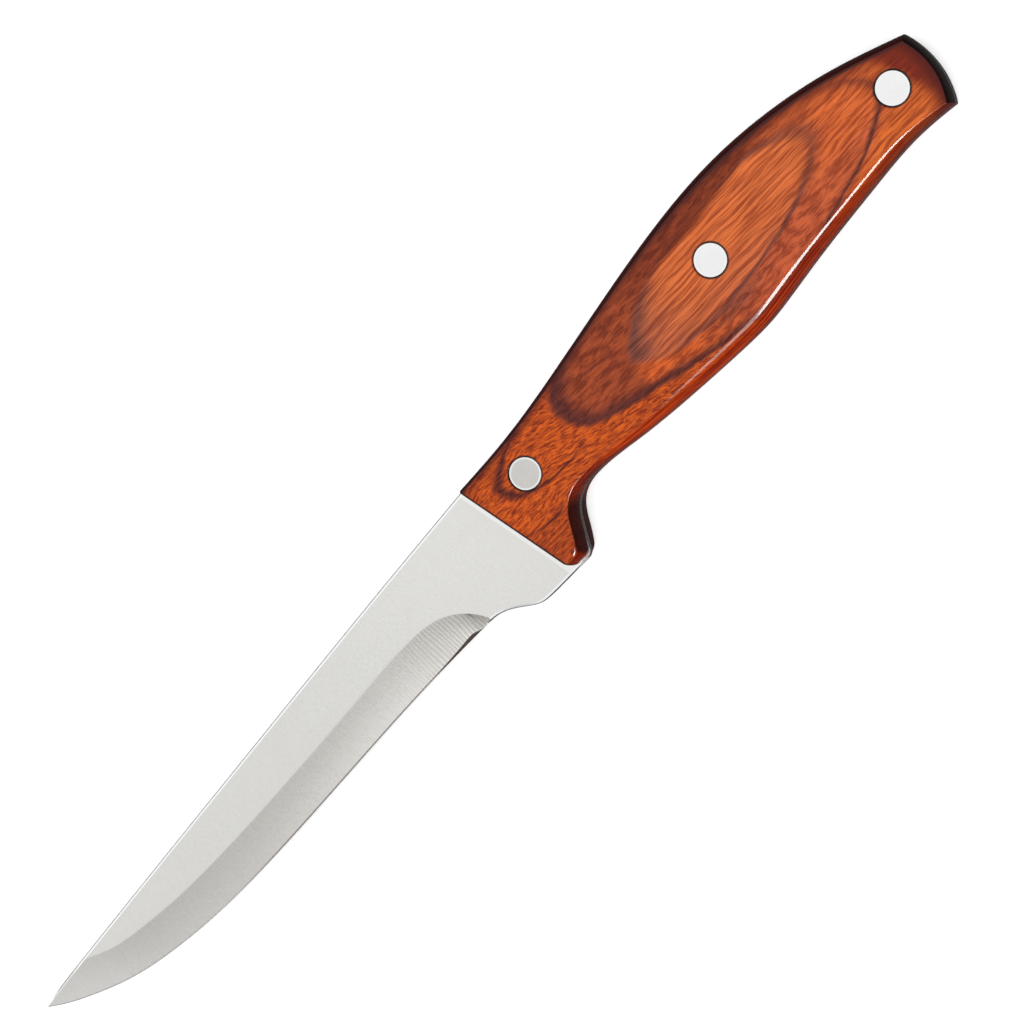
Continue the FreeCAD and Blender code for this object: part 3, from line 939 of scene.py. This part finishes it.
def painted_rim_shade(n, colour, x0, y0):
    """Painted shade: the face darkened towards the handle back and the butt."""
    from_middle = n.minus(y0, BUTT_MID[1])
    butt_line = n.minus(BUTT_MID[0], n.times(n.times(from_middle, from_middle), 0.0265))
    depth = n.math("MINIMUM", n.minus(back_line(n, x0), y0), n.minus(butt_line, x0))
    shade = n.times(n.step(depth, 6.4, 2.2), n.step(x0, 76.0, 88.0))
    colour = n.mix(n.times(shade, 0.62), colour, veneer(120, 48, 28))
    return n.mix(n.times(n.step(depth, 3.8, 1.0), 0.75), colour, veneer(74, 28, 18))


def side_colour(n, colour, x0, y0, z0):
    """Layer lines on the sides with painted light along the belly, painted shade on the back, the butt and
    the notch, and the dark front.
    """
    nx, ny, nz = n.facing()
    flank = n.step(n.math("ABSOLUTE", nz), 0.93, 0.45)
    layers = n.noise(n.join(n.times(x0, 0.03), 0.0, n.times(z0, 1.7)))
    # painted light: the plies are brighter along the middle of the belly, over their real layer lines
    flank_light = n.times(n.step(x0, 9.0, 18.0), n.step(x0, 104.0, 48.0))
    dark_ply = n.mix(flank_light, veneer(90, 26, 12), veneer(128, 38, 14))
    light_ply = n.mix(flank_light, veneer(132, 42, 16), veneer(206, 74, 24))
    plies = n.mix(n.step(layers, 0.4, 0.6), dark_ply, light_ply)
    colour = n.mix(n.times(flank, 0.8), colour, plies)
    # painted shade, picked by the normal: the back, the butt end and the notch wall face away from the light
    back = n.step(ny, 0.12, 0.62)
    end = n.times(n.step(nx, 0.3, 0.62), n.step(x0, 90.0, 100.0))
    notch = n.times(n.step(nx, 0.25, 0.7), n.step(x0, 20.0, 8.0))
    set_back = n.plus(n.plus(x0, -FRONT_X), n.times(y0, FRONT_LEAN))
    front = n.larger(n.step(n.times(nx, -1.0), 0.2, 0.5), n.step(set_back, 0.58, 0.3))
    # painted shade in the notch
    colour = n.mix(n.times(notch, 0.82), colour, veneer(40, 15, 11))
    # painted shade on the handle back
    colour = n.mix(n.times(back, 0.94), colour, veneer(58, 18, 11))
    # painted shade on the butt end, together with the dark front
    return n.mix(n.times(n.larger(end, front), 0.94), colour, veneer(30, 15, 11))


def seat_gap_shade(n, colour, x0, y0):
    """Painted shade: a dark line round the rivet seats."""
    near = None
    for cx, cy in rivet_places():
        distance = n.length(n.join(n.minus(x0, cx), n.minus(y0, cy)))
        near = distance if near is None else n.math("MINIMUM", near, distance)
    return n.mix(n.times(n.step(near, 3.92, 3.66), 0.62), colour, veneer(44, 18, 12))


def wood_material():
    """Glossy resin-filled laminate: drawn figure, fibre streaks, painted shade on the edges, layer lines
    with painted light, lacquer and a painted sheen on the level faces.
    """
    material, shader, n = new_material("laminated_wood")
    plain = n.place()
    x0, y0, z0 = n.split(plain)
    under = n.math("LESS_THAN", z0, 0.0)              # the right scale's figure is moved a little
    p = n.vector("ADD", plain, n.join(n.times(under, 7.0), n.times(under, -1.5)))
    drifted = n.vector("ADD", p, push(n, p, (0.07, 0.13, 0.0), (4.0, 2.6, 0.0)))
    warped = n.vector("ADD", drifted, push(n, p, (0.35, 0.8, 0.0), (1.6, 0.7, 0.0)))
    x, y = n.split(warped)[:2]
    colour, outer, inner = wood_figure(n, x, y)
    colour = fibre_colour(n, colour, p, drifted, warped, x0, outer, inner)
    colour = painted_rim_shade(n, colour, x0, y0)
    colour = side_colour(n, colour, x0, y0, z0)
    colour = seat_gap_shade(n, colour, x0, y0)
    level = n.step(n.math("ABSOLUTE", n.facing()[2]), 0.965, 0.995)
    # painted sheen: a pale tint added to the colour of the level faces, in place of their reflection
    sheen = 0.0094                                    # makes up for the lower gloss of the level faces
    colour = n.mix(level, colour, (sheen, sheen, sheen, 1), "ADD")
    gloss = n.minus(0.22, n.times(level, 0.2))
    rough = n.plus(0.07, n.times(n.noise(p, scale=0.3), 0.06))
    peel = n.bump(0.15, 0.00004, n.noise(p, scale=0.22, detail=1.0))
    connect(n, shader, Base_Color=colour, Roughness=rough, Normal=peel, Specular_IOR_Level=gloss)
    return material


def dress_rivets():
    """Give the CAD rivets their metal, each head with its own tone: painted light, lighter or darker for how
    it is lit.
    """
    for place, centre, tone in zip(RIVETS, rivet_places(), RIVET_LIT_TONES):
        metal = rivet_material(place + "_rivet_metal", tone, centre)
        for half in ("sleeve", "stud"):
            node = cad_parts[place + "_rivet_" + half]
            node.data.materials.clear()
            node.data.materials.append(metal)


# ================================ stage ================================

TILT, TILT_TO, ROLL = math.radians(18.4), math.radians(23.7), math.radians(45.233)
CAMERA_DISTANCE, LENS, SENSOR = 0.55, 94.68, 36.0
LOOK_AT = (-9.96, -2.49, HALF - 7.8)
FLOOR_HALF = 12.0


def camera_axes():
    """Right, up and back of a camera that looks down and leans towards the belly and the butt."""
    image_right = Vector((math.cos(ROLL), -math.sin(ROLL), 0))
    image_up = Vector((math.sin(ROLL), math.cos(ROLL), 0))
    lean = image_right * math.cos(TILT_TO) + image_up * math.sin(TILT_TO)
    vertical = Vector((0, 0, 1))
    axes = []
    for direction in (image_right, image_up):
        share = direction.dot(lean)
        tilted = lean * math.cos(TILT) - vertical * math.sin(TILT)
        axes.append(direction - lean * share + tilted * share)
    return axes + [vertical * math.cos(TILT) + lean * math.sin(TILT)]


def make_camera():
    """Camera above the knife, with the knife running up to the right."""
    data = bpy.data.cameras.new("camera")
    data.lens = LENS
    data.sensor_width = SENSOR
    data.clip_start, data.clip_end = 0.01, 50.0
    camera = bpy.data.objects.new("camera", data)
    bpy.context.scene.collection.objects.link(camera)
    axes = camera_axes()
    place = Matrix(axes).transposed().to_4x4()
    place.translation = ORIGIN + Vector(LOOK_AT) * MM + axes[2] * CAMERA_DISTANCE
    camera.matrix_world = place
    bpy.context.scene.camera = camera


def floor_material():
    """White paper with a little glow, so that it shows as bright as the photo's background."""
    material, shader, _ = new_material("floor_paper")
    shader.inputs["Base Color"].default_value = (0.93, 0.93, 0.93, 1)
    shader.inputs["Roughness"].default_value = 0.9
    shader.inputs["Emission Color"].default_value = WHITE
    shader.inputs["Emission Strength"].default_value = 0.22
    return material


def make_floor():
    """Plain pale floor under the knife, left out of reflections."""
    s = FLOOR_HALF
    mesh = bpy.data.meshes.new("floor")
    mesh.from_pydata([(-s, -s, 0), (s, -s, 0), (s, s, 0), (-s, s, 0)], [], [(0, 1, 2, 3)])
    mesh.materials.append(floor_material())
    floor = bpy.data.objects.new("floor", mesh)
    bpy.context.scene.collection.objects.link(floor)
    floor.visible_glossy = False


def soft_light(name, centre, towards, size, power, glossy, colour=(1, 1, 1)):
    """Rectangular soft light at a point, aimed at another, seen either in gloss only or in diffuse only."""
    data = bpy.data.lights.new(name, "AREA")
    data.shape = "RECTANGLE"
    data.size, data.size_y = size
    data.energy = power
    data.color = colour
    light = bpy.data.objects.new(name, data)
    light.location = centre
    light.rotation_euler = (Vector(towards) - Vector(centre)).to_track_quat("-Z", "Y").to_euler()
    light.visible_glossy = glossy
    light.visible_diffuse = not glossy
    light.visible_camera = False
    bpy.context.scene.collection.objects.link(light)
    return light


def key_light():
    """Large soft key from above, for the diffuse surfaces."""
    soft_light("key", (-0.12, -0.24, 1.0), (0, 0, 0), (1.1, 1.1), 9.5, False)


def lacquer_lights():
    """Tall cards beside the belly that only the scales reflect, as the bright line along the edge."""
    lacquered = bpy.data.collections.new("lacquered")
    for name in ("left_handle_scale", "right_handle_scale"):
        lacquered.objects.link(bpy.data.objects[name])
    strip = soft_light("belly_strip", (0.065, -0.5, 0.6), (0.065, 0, 0.6), (0.11, 0.85), 13.5, True)
    warm = (1.0, 0.82, 0.78)
    fill = soft_light("belly_fill", (0.05, -0.5, 0.5), (0.05, 0, 0.5), (0.32, 0.7), 9.1, True, warm)
    for light in (strip, fill):
        light.light_linking.receiver_collection = lacquered


def make_world():
    """Pale dome, brighter on the spine side and far out on the belly side, and dark below the floor."""
    world = bpy.data.worlds.new("studio")
    world.use_nodes = True
    n = Nodes(world.node_tree)
    x, y, z = n.split(n.add("ShaderNodeTexCoord", out=0))
    glow = n.plus(n.plus(0.82, y), n.times(x, 0.12))
    glow = n.math("MINIMUM", n.larger(glow, 0.18), 0.97)
    glow = n.plus(glow, n.times(n.step(y, -0.42, -0.56), 0.76))
    dome = n.larger(n.times(glow, n.step(z, -0.08, 0.04)), 0.06)
    seen = n.add("ShaderNodeLightPath", out=0)
    background_level = 0.95
    strength = n.add("ShaderNodeMix", {0: seen, 2: dome, 3: background_level}, out=0, data_type="FLOAT")
    background = world.node_tree.nodes["Background"]
    world.node_tree.links.new(strength, background.inputs["Strength"])
    background.inputs["Color"].default_value = WHITE
    bpy.context.scene.world = world


make_blade(steel_material())
make_scales(wood_material())
dress_rivets()
make_floor()
make_world()
make_camera()
key_light()
lacquer_lights()
bpy.context.scene.view_settings.view_transform = "Standard"
